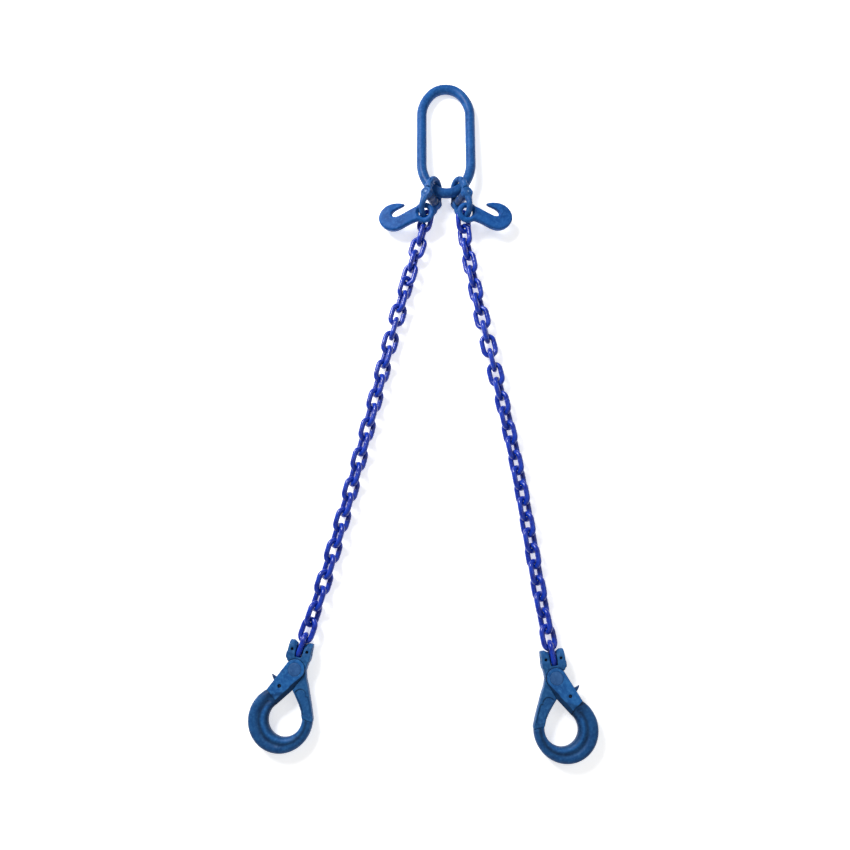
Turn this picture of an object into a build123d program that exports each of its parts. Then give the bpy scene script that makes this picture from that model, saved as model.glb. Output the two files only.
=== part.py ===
from build123d import *
import math
import os
import numpy as np

os.makedirs("parts", exist_ok=True)

# Two-leg chain sling, laid out on a floor. Millimetres. +Z up, floor at z = 0,
# master link towards +Y, hooks towards -Y, X across the legs.

# ---------------------------------------------------------------- dimensions
CHAIN_D = 8.0            # chain bar diameter
CHAIN_PITCH = 24.15      # inner length of a link (24 mm nominal)
CHAIN_INNER_W = 10.8     # inner width of a link
LINKS_PER_LEG = 30

MASTER_BAR = 16.4        # master link bar diameter
MASTER_HALF_W = 40.5     # half width on the bar centreline
MASTER_LEN = 201.7       # length on the bar centreline
MASTER_TOP_RISE = 53.0   # height of the crown end above its spring line
MASTER_LOW_RISE = 55.5   # height of the lower end
MASTER_CROWN_R = 33.0    # centreline radius at both crowns
MASTER_Z_CROWN = 8.4     # bar centre height at the crown end, which lies on the floor
MASTER_Z_LOW = 24.4      # bar centre height at the end held up by the connecting links
MASTER_X = 0.0
MASTER_Y_LOW = 381.05    # bar centre of the lower crown

COUP_BAR = 9.6           # connecting link bar diameter
COUP_HALF = 37.0         # load pin centre to outside of a half's crown
COUP_ARM = 19.0          # arm centre offset from the middle
COUP_LUG_R = 8.2
COUP_LUG_SPLIT = 19.0
COUP_LUG_OUT = 23.2
COUP_LUG_IN = 12.5
COUP_PIN_D = 10.0
COUP_PIN_L = 46.8
COUP_SLEEVE_D = 14.4
COUP_SLEEVE_L = 24.4
BORE_GAP = 0.05          # radial running clearance of every pin

EYE_R = 12.6             # grab hook eye, bar centre radius
EYE_BAR = 8.8            # grab hook eye bar diameter
GRAB_T = 11.6            # grab hook thickness

PIN_D = 10.0             # clevis load pin
PIN_L = 32.6
EAR_OUT = 17.2           # half width over the clevis ears
SLOT_HALF = 5.1          # half width of the clevis slot
EAR_HALF_T = 11.0
ROLL_D = 3.0             # retaining roll pin
ROLL_L = 20.6
PIVOT_Y = -27.0          # pivot below the load pin
FORK_R = 14.5            # rounded fork end
FORK_HALF_T = 11.6       # half thickness over the fork plates
FORK_SLOT = 5.7          # half width of the slot between the plates
TONGUE_HALF_T = 5.4
LATCH_HALF_T = 7.6
BOWL_HALF_T = 9.6
PIVOT_D = 11.0
PIVOT_HEAD_R = 9.2
PIVOT_HEAD_H = 1.3
TRIG_PIN = (-15.4, -53.7)
TRIG_PIN_D = 5.0
JAW_OPEN = 35.0          # how far the jaw turns open, degrees

# the layout below is written about the middle of the master link; this puts the origin at
# the middle of the whole assembly's footprint
SHIFT = np.array([37.772, -48.673, 0.039])

# ------------------------------------------------------------------- vectors
def vec(*a):
    return np.array(a, float)


def unit(a):
    a = np.array(a, float)
    return a / np.linalg.norm(a)


def turn(v, axis, deg):
    """v turned about a unit axis by deg degrees."""
    a = math.radians(deg)
    v, k = np.array(v, float), unit(axis)
    return v * math.cos(a) + np.cross(k, v) * math.sin(a) + k * (k @ v) * (1 - math.cos(a))


class Frame:
    """A right-handed frame: origin and three unit axes."""

    def __init__(self, o, x, y):
        self.o = np.array(o, float)
        self.x = unit(x)
        y = np.array(y, float)
        self.y = unit(y - (y @ self.x) * self.x)
        self.z = np.cross(self.x, self.y)

    def at(self, x, y, z=0.0):
        return self.o + x * self.x + y * self.y + z * self.z

    def dir(self, x, y, z=0.0):
        return x * self.x + y * self.y + z * self.z

    def place(self, shape):
        p = Plane(origin=tuple(self.o + SHIFT), x_dir=tuple(self.x), z_dir=tuple(self.z))
        return shape.moved(p.location)


# -------------------------------------------------------------------- layout
# master link: local x across, local y towards the crown, origin at the lower crown's bar centre
_my = MASTER_LEN
_dz = MASTER_Z_CROWN - MASTER_Z_LOW
MASTER = Frame(
    (MASTER_X, MASTER_Y_LOW, MASTER_Z_LOW),
    (1, 0, 0),
    (0, math.sqrt(_my * _my - _dz * _dz), _dz),
)

# connecting link on the left: load pin centre, load pin axis and the direction of the upper half
COUP_P = vec(-24.4, 370.3, 27.2)
COUP_W = unit((0.4287, -0.1041, -0.8974))
COUP_U = unit((0.2594, 0.9657, 0.0120))
FOLD = {"left": 8.44, "right": -2.5}     # fold of the lower half about the load pin
PHI_LINK = {"left": 23.69, "right": 29.79}  # where the first chain link hangs on the bow, degrees from its lowest point
PHI_EYE = {"left": -17.28, "right": -18.68}  # where the grab hook's eye hangs

# chain legs: heading of each link from -Y towards +X in degrees, roll of each link about
# its length (0 lies flat), and the height of the chain axis at each joint
HEAD = {
    "left": [-13.8, -15.53, -17.2, -15.8, -15.5, -15.1, -14.9, -14.6, -14.3, -14, -13.9, -13.6, -13.6, -13.7, -13.6,
             -13.8, -13.9, -14, -14.3, -14.4, -14.7, -14.9, -15.1, -15.4, -15.7, -16.1, -16.8, -17.7, -18.6, -18.8],
    "right": [5.08, 5.62, 10.6, 10.2, 10.7, 11.1, 11.5, 11.8, 12.1, 12.4, 12.4, 12.5, 12.3, 12.1, 11.7,
             11.3, 10.7, 10.2, 9.6, 9.1, 8.6, 8.4, 8.2, 8.3, 8.5, 8.9, 9.4, 9.8, 9.9, 9.4],
}
ROLL = {
    "left": [24.55, 96.4, 8, -78, 24, -42, 60, -8, 82, -24, 62, -34, 57, -36, 57, -36, 56, -36, 57, -35,
             57, -36, 56, -35, 56, -34, 54, -54, 24, 90],
    "right": [-28.42, 43.26, -60, 40, -61, 42, -58, 24, -78, 4, -82, 26, -62, 45, -48, 48, -46, 50, -42, 50,
              -43, 48, -43, 46, -45, 48, -43, 60, -24, 90],
}
HEIGHT = {
    "left": [None, 15.24, 13.75, 14.0, 13.6, 13.4, 13.3, 13.4, 13.5, 13.3, 12.9, 12.6, 12.3, 12.1, 12.0, 12.0,
             12.0, 12.0, 12.0, 12.0, 12.0, 12.0, 12.0, 12.0, 12.0, 12.0, 12.0, 12.2, 12.7, 13.3, 13.6],
    "right": [None, 15.59, 14.34, 13.6, 13.4, 13.2, 13.1, 13.2, 13.4, 13.5, 13.5, 13.3, 12.8, 12.3, 12.0, 11.8,
              11.7, 11.7, 11.6, 11.6, 11.6, 11.6, 11.6, 11.6, 11.6, 11.7, 11.8, 12.1, 12.6, 13.3, 13.6],
}
HOOK_TILT = {"left": 13.2, "right": -7.4}  # heading of each hook, degrees from -Y (left hook leans to -X)
LINK_GAP = {"left": 0.2, "right": 0.34}    # slack between two links at right angles to each other
BOW_GAP = {"left": 1.0, "right": 1.0}   # slack between the first link and the bow it hangs on


def link_gap(side, r0, r1):
    """Slack between two interlocked links whose rolls differ by less than a right angle."""
    d = abs(r1 - r0) % 180
    d = min(d, 180 - d)
    if d >= 78:
        return LINK_GAP[side]
    if d >= 72:
        return 0.5
    if d >= 68:
        return 0.85
    return 1.15


def coupling(side):
    """Frames of the upper and lower halves (x along the pin, y from pin to crown)."""
    m = vec(-1 if side == "right" else 1, 1, 1)
    p, w, u = COUP_P * m, COUP_W * m, COUP_U * m
    n = np.cross(COUP_W, COUP_U) * m
    d = -(math.cos(math.radians(FOLD[side])) * u + math.sin(math.radians(FOLD[side])) * n)
    return Frame(p, w, u), Frame(p, w, d)


def bow_point(fr, phi):
    """Bar centre and bar direction on a half's bow, phi degrees from the crown towards +x."""
    s0 = COUP_HALF - COUP_BAR / 2 - COUP_ARM
    a = math.radians(phi)
    return (
        fr.at(COUP_ARM * math.sin(a), s0 + COUP_ARM * math.cos(a)),
        fr.dir(math.cos(a), -math.sin(a)),
    )


def chain(side):
    """Frames of the links of one leg: y along the link towards the master link, x across the link."""
    up, low = coupling(side)
    s, _ = bow_point(low, PHI_LINK[side])
    out, j = [], None
    n = LINKS_PER_LEG
    for i in range(n):
        g0 = LINK_GAP[side] if i == 0 else link_gap(side, ROLL[side][i - 1], ROLL[side][i])
        g1 = LINK_GAP[side] if i == n - 1 else link_gap(side, ROLL[side][i], ROLL[side][i + 1])
        h = math.radians(HEAD[side][i])
        if i == 0:
            # the first link hangs on the bow: its crown's inner face is BOW_GAP from the bar
            z1 = HEIGHT[side][1]
            span = CHAIN_PITCH - (COUP_BAR / 2 + BOW_GAP[side]) - g1 / 2
            e = math.asin((s[2] - z1) / span)
            a = vec(math.cos(e) * math.sin(h), -math.cos(e) * math.cos(h), -math.sin(e))
            c = s + a * (CHAIN_PITCH / 2 - COUP_BAR / 2 - BOW_GAP[side])
            j = c + a * (CHAIN_PITCH / 2 - g1 / 2)
        else:
            ell = CHAIN_PITCH - g0 / 2 - g1 / 2
            e = math.asin((j[2] - HEIGHT[side][i + 1]) / ell)
            a = vec(math.cos(e) * math.sin(h), -math.cos(e) * math.cos(h), -math.sin(e))
            c = j + a * (CHAIN_PITCH / 2 - g0 / 2)
            j = c + a * (CHAIN_PITCH / 2 - g1 / 2)
        lat = unit(np.cross(a, vec(0, 0, 1)))  # horizontal, towards -X for a link pointing -Y
        lat = -lat if lat[0] < 0 else lat
        b = turn(lat, a, ROLL[side][i])
        out.append(Frame(c, b, -a))
    return out


def hook_frame(side):
    """Hook frame: origin at the load pin, x towards the latch arm, y towards the chain."""
    last = chain(side)[-1]
    pin = last.o - last.y * (CHAIN_PITCH / 2 - PIN_D / 2 - 0.2)
    t = math.radians(HOOK_TILT[side])
    y = vec(math.sin(t), math.cos(t), 0)
    x = vec(math.cos(t), -math.sin(t), 0)
    if side == "right":
        x = -x
    return Frame(pin, x, y)


GRAB_HEAD = {"left": 209.48, "right": -27.88}  # direction of each grab hook's shank in the XY plane
GRAB_DROP = {"left": 0.19, "right": 0.2}         # fall of the shank towards the floor per unit length
EYE_SHIFT = {"left": (-2.87, 0.29), "right": (-1.53, 1.58)}


def grab_frame(side):
    """Grab hook frame: origin at the eye centre, x along the shank, y towards the throat's mouth."""
    up, low = coupling(side)
    e, _ = bow_point(low, PHI_EYE[side])
    a = math.radians(GRAB_HEAD[side])
    x = vec(math.cos(a), math.sin(a), -GRAB_DROP[side])
    y = vec(-math.sin(a), math.cos(a), 0)
    if side == "left":
        y = -y
    f = Frame(e, x, y)
    f.o = f.at(*EYE_SHIFT[side])
    return f


# -------------------------------------------------------------------- solids
def rod(r, p0, p1):
    """Round bar of radius r between two points."""
    p0, p1 = Vector(*p0), Vector(*p1)
    d = p1 - p0
    return Plane(origin=p0, z_dir=d) * Cylinder(r, d.length, align=(Align.CENTER, Align.CENTER, Align.MIN))


def disc(cx, cy, r, z0, z1):
    return rod(r, (cx, cy, z0), (cx, cy, z1))


def slab(pts, z0, z1):
    """Straight-sided plate with the given outline."""
    face = make_face(Polyline(*[(x, y, 0) for x, y in pts], close=True))
    return Pos(0, 0, z0) * extrude(face, amount=z1 - z0, dir=(0, 0, 1))


def bent_bar(path, r):
    start = Plane(origin=path @ 0, z_dir=path % 0)
    return sweep(start * Circle(r), path=path)


def one(shape):
    """The single solid in a shape."""
    s = shape.solids()
    assert len(s) == 1, len(s)
    return s[0]


# chain link: x across, y along
def make_link():
    hw = (CHAIN_INNER_W + CHAIN_D) / 2
    s = CHAIN_PITCH / 2 + CHAIN_D / 2 - hw
    path = Wire([
        Edge.make_line((hw, 0, 0), (hw, s, 0)),
        Edge.make_three_point_arc((hw, s, 0), (0, s + hw, 0), (-hw, s, 0)),
        Edge.make_line((-hw, s, 0), (-hw, -s, 0)),
        Edge.make_three_point_arc((-hw, -s, 0), (0, -s - hw, 0), (hw, -s, 0)),
        Edge.make_line((hw, -s, 0), (hw, 0, 0)),
    ])
    return one(bent_bar(path, CHAIN_D / 2))


# master link: tight crowns, wider shoulders, straight sides
def make_master():
    a, c = MASTER_HALF_W, MASTER_CROWN_R

    def end(rise):
        k = rise - c
        shoulder = (a * a + k * k - c * c) / (2 * (a - c))
        m = Vector(a - shoulder, 0)
        q = Vector(0, k)
        u = (q - m).normalized()
        t = q + u * c
        ang = math.atan2(u.Y, u.X) / 2
        mid = m + Vector(math.cos(ang), math.sin(ang)) * shoulder
        return k, (mid.X, mid.Y), (t.X, t.Y)

    lo, hi = MASTER_LOW_RISE, MASTER_LEN - MASTER_TOP_RISE
    k0, m0, t0 = end(MASTER_LOW_RISE)
    k1, m1, t1 = end(MASTER_TOP_RISE)
    mid = (lo + hi) / 2
    e = [
        Edge.make_line((a, mid, 0), (a, hi, 0)),
        Edge.make_three_point_arc((a, hi, 0), (m1[0], hi + m1[1], 0), (t1[0], hi + t1[1], 0)),
        Edge.make_three_point_arc((t1[0], hi + t1[1], 0), (0, MASTER_LEN, 0), (-t1[0], hi + t1[1], 0)),
        Edge.make_three_point_arc((-t1[0], hi + t1[1], 0), (-m1[0], hi + m1[1], 0), (-a, hi, 0)),
        Edge.make_line((-a, hi, 0), (-a, lo, 0)),
        Edge.make_three_point_arc((-a, lo, 0), (-m0[0], lo - m0[1], 0), (-t0[0], lo - t0[1], 0)),
        Edge.make_three_point_arc((-t0[0], lo - t0[1], 0), (0, 0, 0), (t0[0], lo - t0[1], 0)),
        Edge.make_three_point_arc((t0[0], lo - t0[1], 0), (m0[0], lo - m0[1], 0), (a, lo, 0)),
        Edge.make_line((a, lo, 0), (a, mid, 0)),
    ]
    return one(bent_bar(Wire(e), MASTER_BAR / 2))


# connecting link half: bow with one outer and one inner lug, bored for the load pin along x
def make_coupling_half():
    r = COUP_BAR / 2
    s0 = COUP_HALF - r - COUP_ARM
    y0 = 10.0
    path = Wire([
        Edge.make_line((COUP_ARM, y0, 0), (COUP_ARM, s0, 0)),
        Edge.make_three_point_arc((COUP_ARM, s0, 0), (0, s0 + COUP_ARM, 0), (-COUP_ARM, s0, 0)),
        Edge.make_line((-COUP_ARM, s0, 0), (-COUP_ARM, y0, 0)),
    ])
    body = bent_bar(path, r)
    g = 0.1
    for x0, x1 in ((COUP_LUG_SPLIT + g, COUP_LUG_OUT), (-COUP_LUG_SPLIT + g, -COUP_LUG_IN)):
        lug = rod(COUP_LUG_R, (x0, 0, 0), (x1, 0, 0))
        neck = Pos((x0 + x1) / 2, 6.2, 0) * Box(x1 - x0, 12.4, 2 * r)
        body += lug + neck
    body -= rod(COUP_PIN_D / 2 + BORE_GAP, (-40, 0, 0), (40, 0, 0))
    # room for the other half's lugs to turn past
    for x0, x1 in ((-COUP_LUG_SPLIT - 8, -COUP_LUG_SPLIT), (COUP_LUG_IN - 2, COUP_LUG_SPLIT)):
        body -= rod(COUP_LUG_R + 0.25, (x0, 0, 0), (x1, 0, 0))
    return one(body)


def make_sleeve():
    return one(rod(COUP_SLEEVE_D / 2, (-COUP_SLEEVE_L / 2, 0, 0), (COUP_SLEEVE_L / 2, 0, 0))
               - rod(COUP_PIN_D / 2 + BORE_GAP, (-20, 0, 0), (20, 0, 0)))


def make_coupling_pin():
    p = rod(COUP_PIN_D / 2, (-COUP_PIN_L / 2, 0, 0), (COUP_PIN_L / 2, 0, 0))
    return one(chamfer(p.edges().filter_by(GeomType.CIRCLE), 0.8))


# grab hook: x along the shank, y towards the mouth of the throat
def make_grab_hook():
    t = GRAB_T / 2
    outer = [(21.5, 27.6), (19.6, 29.2), (20.6, 31.6), (26.5, 36.6), (34.5, 40.9), (44.0, 43.1), (54.0, 42.0),
             (62.5, 37.8), (68.0, 31.5), (70.1, 23.0), (68.2, 13.5), (63.0, 5.0), (55.5, -0.6), (46.0, -3.0),
             (36.0, -3.4), (26.0, -3.8), (14.0, -6.4), (6.0, -8.0), (2.0, 0.0), (6.0, 15.0), (12.0, 15.9),
             (20.0, 16.2), (32.0, 16.8), (39.0, 17.4), (44.0, 19.2), (46.9, 22.9), (45.4, 26.9), (41.0, 28.9), (34.0, 28.9)]
    face = make_face(Polyline(*[(x, y, 0) for x, y in outer], close=True))
    plate = Pos(0, 0, -t) * extrude(face, amount=GRAB_T, dir=(0, 0, 1))
    plate = chamfer(plate.edges().filter_by(Plane.XY, reverse=False).group_by(Axis.Z)[0]
                    + plate.edges().filter_by(Plane.XY).group_by(Axis.Z)[-1], 1.6)
    ring = Torus(EYE_R, EYE_BAR / 2)
    plate -= disc(0, 0, EYE_R, -20, 20)
    return one(ring + plate)


# self-locking hook: origin at the load pin, x towards the latch arm, y towards the chain
PIV = (0.0, PIVOT_Y)
FORK_LEFT = [(-14.45, -29.5), (-31.9, -62.4)]
BOWL_C, BOWL_R = (-3.0, -98.5), 46.2
TIP_OUT = (42.8, -92.5)
TIP_IN = (26.6, -90.0)
THROAT = (-14.3, -80.6)
ELBOW = (3.2, -56.3)
THROAT_LOW = (3.6, -120.8)


def tangent_point(p, c, r, side):
    """Where the tangent from p touches the circle; side +1 or -1 picks the tangent."""
    dx, dy = p[0] - c[0], p[1] - c[1]
    d = math.hypot(dx, dy)
    b = math.atan2(dy, dx) + side * math.acos(r / d)
    return (c[0] + r * math.cos(b), c[1] + r * math.sin(b))


def fork_outline(grow=0.0, r=None):
    """Outline of the fork plates down to the bowl boundary, grown outwards on the right side."""
    r = FORK_R if r is None else r
    left = tangent_point((-31.9, -62.4), PIV, r, -1)
    right = tangent_point((ELBOW[0] + grow, ELBOW[1]), PIV, r, 1)
    a0 = math.atan2(right[1] - PIV[1], right[0] - PIV[0])
    a1 = math.atan2(left[1] - PIV[1], left[0] - PIV[0])
    if a1 < a0:
        a1 += 2 * math.pi
    arc = [(PIV[0] + r * math.cos(a0 + (a1 - a0) * k / 24), PIV[1] + r * math.sin(a0 + (a1 - a0) * k / 24)) for k in range(25)]
    return arc + [(-31.9, -62.4), (-17.0, -74.9 + 2.0), (-14.3 + grow, -80.6), (ELBOW[0] + grow, ELBOW[1])]


def make_hook_body():
    # bowl: outer and inner arcs, thick with rounded edges
    left = tangent_point((-31.9, -62.4), PIV, FORK_R, -1)
    e = [
        Edge.make_three_point_arc((-31.9, -62.4, 0), (BOWL_C[0], BOWL_C[1] - BOWL_R, 0), (TIP_OUT[0], TIP_OUT[1], 0)),
        Edge.make_line((TIP_OUT[0], TIP_OUT[1], 0), (TIP_IN[0], TIP_IN[1], 0)),
        Edge.make_three_point_arc((TIP_IN[0], TIP_IN[1], 0), (THROAT_LOW[0], THROAT_LOW[1], 0), (THROAT[0], THROAT[1], 0)),
        Edge.make_line((THROAT[0], THROAT[1], 0), (ELBOW[0], ELBOW[1], 0)),
        Edge.make_line((ELBOW[0], ELBOW[1], 0), (-6.0, -46.0, 0)),
        Edge.make_line((-6.0, -46.0, 0), (-23.0, -46.0, 0)),
        Edge.make_line((-23.0, -46.0, 0), (-31.9, -62.4, 0)),
    ]
    bowl = Pos(0, 0, -BOWL_HALF_T) * extrude(make_face(Wire(e)), amount=2 * BOWL_HALF_T, dir=(0, 0, 1))
    bowl = fillet(bowl.edges().filter_by(Plane.XY), 5.0)
    body = bowl + slab(fork_outline(), -FORK_HALF_T, FORK_HALF_T)
    # slot between the fork plates
    body -= slab([(-40, -8), (20, -8), (20, -50), (4.5, -57.5), (-9.0, -62.0), (-24.5, -62.0), (-40, -50)], -FORK_SLOT, FORK_SLOT)
    body -= disc(PIV[0], PIV[1], PIVOT_D / 2 + 0.03, -20, 20)
    for s in (-1, 1):
        z0 = s * (FORK_HALF_T - 1.2)
        body -= disc(PIV[0], PIV[1], PIVOT_HEAD_R + 0.05, min(z0, s * 20), max(z0, s * 20))
    body -= disc(TRIG_PIN[0], TRIG_PIN[1], TRIG_PIN_D / 2 + 0.02, -20, 20)
    return one(body)


def make_pivot():
    b = disc(PIV[0], PIV[1], PIVOT_D / 2, -FORK_HALF_T, FORK_HALF_T)
    for s in (-1, 1):
        z0, z1 = sorted((s * (FORK_HALF_T - 1.17), s * (FORK_HALF_T + PIVOT_HEAD_H)))
        h = disc(PIV[0], PIV[1], PIVOT_HEAD_R, z0, z1)
        h = chamfer(h.edges().filter_by(GeomType.CIRCLE).group_by(Axis.Z)[-1 if s > 0 else 0], 0.9)
        b += h
    return one(b)


def make_trigger_pin():
    return one(disc(TRIG_PIN[0], TRIG_PIN[1], TRIG_PIN_D / 2, -FORK_HALF_T + 0.3, FORK_HALF_T - 0.3))


def make_upper_body():
    out_l = [(-EAR_OUT, 11.2), (-EAR_OUT + 2.2, 13.4), (-SLOT_HALF, 13.4), (-SLOT_HALF, -25), (-8.6, -25.0), (-12.4, -19.6), (-16.4, -13.8), (-EAR_OUT, -11.4)]
    out_r = [(SLOT_HALF, 13.4), (EAR_OUT - 2.2, 13.4), (EAR_OUT, 11.2), (EAR_OUT, -11.0), (15.7, -20.0), (15.7, -27.0), (SLOT_HALF, -27)]
    ears = slab(out_l, -EAR_HALF_T, EAR_HALF_T) + slab(out_r, -EAR_HALF_T, EAR_HALF_T)
    ears += slab([(-SLOT_HALF - 1, -10.0), (SLOT_HALF + 1, -10.0), (SLOT_HALF + 1, -25.0), (-SLOT_HALF - 1, -25.0)], -TONGUE_HALF_T, TONGUE_HALF_T)
    # rounded top of the ears, seen along the load pin
    keep = rod(EAR_HALF_T, (-30, 2.4, 0), (30, 2.4, 0)) + Pos(0, -37.6, 0) * Box(60, 80, 2 * EAR_HALF_T)
    body = ears & keep
    # the link's crown swings in the slot
    body -= Pos(0, 20, 0) * Box(2 * SLOT_HALF, 40.0, 40)
    body -= rod(13.8, (-SLOT_HALF, 0, 0), (SLOT_HALF, 0, 0))
    # the last link but one swings past the inner corners of the ears
    body -= (Rot(0, 90, 0) * Torus(24.2, 15.3)) & (Pos(0, 19.5, 0) * Box(80, 41.0, 80))
    # latch arm
    arm = [(8.0, -14.0), (15.7, -20.0), (16.0, -27.0), (19.0, -36.0), (24.0, -45.4), (29.3, -57.3), (34.6, -69.0), (39.0, -79.3),
           (42.6, -89.0), (42.5, -92.1), (41.7, -92.0), (26.3, -89.4), (23.0, -80.7), (17.0, -71.6), (9.3, -62.2), (3.9, -56.0), (-2.0, -38.0)]
    body += slab(arm, -LATCH_HALF_T, LATCH_HALF_T)
    # thick parts stop short of the fork plates; the tongue between them goes on
    big = slab(fork_outline(0.6, FORK_R + 0.5), TONGUE_HALF_T, 30)
    swing = Axis((PIV[0], PIV[1], 0), (0, 0, -1))
    for a in (0, 12, 24, JAW_OPEN + 1):
        turned = big.rotate(swing, a)
        body -= turned
        body -= mirror(turned, about=Plane.XY)
    sweep_cut = disc(PIV[0], PIV[1], FORK_R + 0.5, TONGUE_HALF_T, 30)
    body -= sweep_cut
    body -= mirror(sweep_cut, about=Plane.XY)
    body += disc(PIV[0], PIV[1], 13.0, -TONGUE_HALF_T, TONGUE_HALF_T)
    # the hook's shank stays clear of the tongue
    body -= slab([(-40, -38.5), (-5.5, -38.5), (1.6, -56.0), (3.7, -56.4), (3.7, -70), (-40, -70)], -20, 20)
    body -= disc(PIV[0], PIV[1], PIVOT_D / 2 + BORE_GAP, -20, 20)
    body -= rod(PIN_D / 2 + BORE_GAP, (-40, 0, 0), (40, 0, 0))
    for s in (-1, 1):
        body -= disc(s * 11.0, 0, ROLL_D / 2 + 0.05, -20, 20)
    return one(body)


def make_load_pin():
    p = rod(PIN_D / 2, (-PIN_L / 2, 0, 0), (PIN_L / 2, 0, 0))
    p = chamfer(p.edges().filter_by(GeomType.CIRCLE), 0.7)
    for s in (-1, 1):
        p -= disc(s * 11.0, 0, ROLL_D / 2 + 0.05, -20, 20)
    return one(p)


def make_roll_pins():
    return [one(disc(s * 11.0, 0, ROLL_D / 2, -ROLL_L / 2, ROLL_L / 2) - disc(s * 11.0, 0, ROLL_D / 2 - 0.6, -20, 20)) for s in (-1, 1)]


# trigger in the slot: spur outside the back of the fork, nose towards the tongue
TRIG_Z = (-5.3, 0.9)
TRIG_OUT = [(-9.6, -52.2), (-10.2, -47.2), (-12.4, -43.6), (-14.9, -41.3), (-17.3, -41.9), (-20.0, -45.6), (-25.0, -43.8), (-31.6, -41.4),
            (-29.7, -44.8), (-27.2, -48.2), (-21.2, -54.0), (-19.2, -58.0), (-15.4, -59.3), (-11.2, -57.6)]


def make_trigger():
    body = slab(TRIG_OUT, *TRIG_Z) + disc(TRIG_PIN[0], TRIG_PIN[1], 5.5, *TRIG_Z)
    body -= disc(TRIG_PIN[0], TRIG_PIN[1], TRIG_PIN_D / 2 + BORE_GAP, -20, 20)
    return one(body)


def make_spring():
    pitch, turns, r, w = 1.05, 3, 3.6, 0.42
    z0 = 1.6
    helix = Pos(TRIG_PIN[0], TRIG_PIN[1], z0) * Helix(pitch, pitch * turns, r)
    prof = Plane(origin=helix @ 0, z_dir=helix % 0) * Circle(w)
    coil = sweep(prof, path=helix)
    return one(coil)


# -------------------------------------------------------------------- export
def main():
    nodes = {}
    nodes["master_link"] = [MASTER.place(make_master())]
    link = make_link()
    half, sleeve, cpin, grab = make_coupling_half(), make_sleeve(), make_coupling_pin(), make_grab_hook()
    hook = {
        "hook_body": [make_hook_body()],
        "hook_pivot_rivet": [make_pivot()],
        "hook_trigger_pin": [make_trigger_pin()],
        "hook_upper_body": [make_upper_body()],
        "hook_load_pin": [make_load_pin()],
        "hook_retaining_pins": make_roll_pins(),
        "hook_trigger": [make_trigger()],
        "hook_trigger_spring": [make_spring()],
    }
    for side in ("left", "right"):
        up, low = coupling(side)
        flipped = Frame(low.o, -low.x, low.y)
        nodes[side + "_coupling_upper"] = [up.place(half)]
        nodes[side + "_coupling_lower"] = [flipped.place(half)]
        nodes[side + "_coupling_pin"] = [up.place(cpin)]
        nodes[side + "_coupling_sleeve"] = [up.place(sleeve)]
        nodes[side + "_grab_hook"] = [grab_frame(side).place(grab)]
        fr = chain(side)
        for k in range(0, LINKS_PER_LEG, 2):
            nodes["%s_chain_links_%02d_%02d" % (side, k + 1, k + 2)] = [fr[k].place(link), fr[k + 1].place(link)]
        hf = hook_frame(side)
        for name, solids in hook.items():
            nodes[side + "_" + name] = [hf.place(s) for s in solids]
    for name, solids in nodes.items():
        for s in solids:
            assert s.is_valid, name
        export_step(solids[0] if len(solids) == 1 else Compound(children=solids), "parts/%s.step" % name)
    every = Compound(children=[s for v in nodes.values() for s in v])
    bb = every.bounding_box()
    print("nodes", len(nodes), "box", bb.min, bb.max)


if __name__ == "__main__":
    main()
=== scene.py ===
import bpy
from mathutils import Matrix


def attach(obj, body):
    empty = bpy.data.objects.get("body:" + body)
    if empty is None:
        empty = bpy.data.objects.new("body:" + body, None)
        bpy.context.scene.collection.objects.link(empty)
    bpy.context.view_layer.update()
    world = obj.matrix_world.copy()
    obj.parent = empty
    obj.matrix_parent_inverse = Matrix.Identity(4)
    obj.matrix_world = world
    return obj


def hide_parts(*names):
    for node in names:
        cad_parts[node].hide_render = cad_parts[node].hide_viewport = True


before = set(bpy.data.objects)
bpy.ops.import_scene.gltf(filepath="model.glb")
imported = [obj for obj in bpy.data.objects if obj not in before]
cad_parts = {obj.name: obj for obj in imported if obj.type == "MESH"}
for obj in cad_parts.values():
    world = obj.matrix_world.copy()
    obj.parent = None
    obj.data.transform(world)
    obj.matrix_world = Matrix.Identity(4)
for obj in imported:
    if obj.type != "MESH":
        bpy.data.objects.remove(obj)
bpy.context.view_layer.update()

import math

import bpy
import bmesh
import numpy as np
from mathutils import Matrix, Vector

RNG = np.random.default_rng(7)

# where each piece is: origin in millimetres, then its local x and y directions
FRAMES = {
    "master_link": (37.772, 332.377, 24.439, 1.00000, 0.00000, 0.00000, 0.00000, 0.99685, -0.07933),
    "left_coupling_upper": (13.372, 321.627, 27.239, 0.42871, -0.10410, -0.89742, 0.25944, 0.96569, 0.01192),
    "left_coupling_lower": (13.372, 321.627, 27.239, -0.42871, 0.10410, 0.89742, -0.38365, -0.92031, -0.07652),
    "left_grab_hook": (1.240, 295.010, 30.441, -0.85523, -0.48347, -0.18666, -0.49212, 0.87053, 0.00000),
    "left_hook": (-178.216, -386.469, 13.574, 0.97358, -0.22835, 0.00000, 0.22835, 0.97358, 0.00000),
    "right_coupling_upper": (62.172, 321.627, 27.239, -0.42871, -0.10410, -0.89742, -0.25944, 0.96569, 0.01192),
    "right_coupling_lower": (62.172, 321.627, 27.239, 0.42871, 0.10410, 0.89742, 0.22144, -0.97515, 0.00733),
    "right_grab_hook": (71.102, 293.935, 33.229, 0.86676, -0.45854, -0.19612, 0.46762, 0.88393, -0.00000),
    "right_hook": (187.965, -398.152, 13.575, -0.99167, -0.12880, -0.00000, -0.12880, 0.99167, 0.00000),
}
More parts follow.
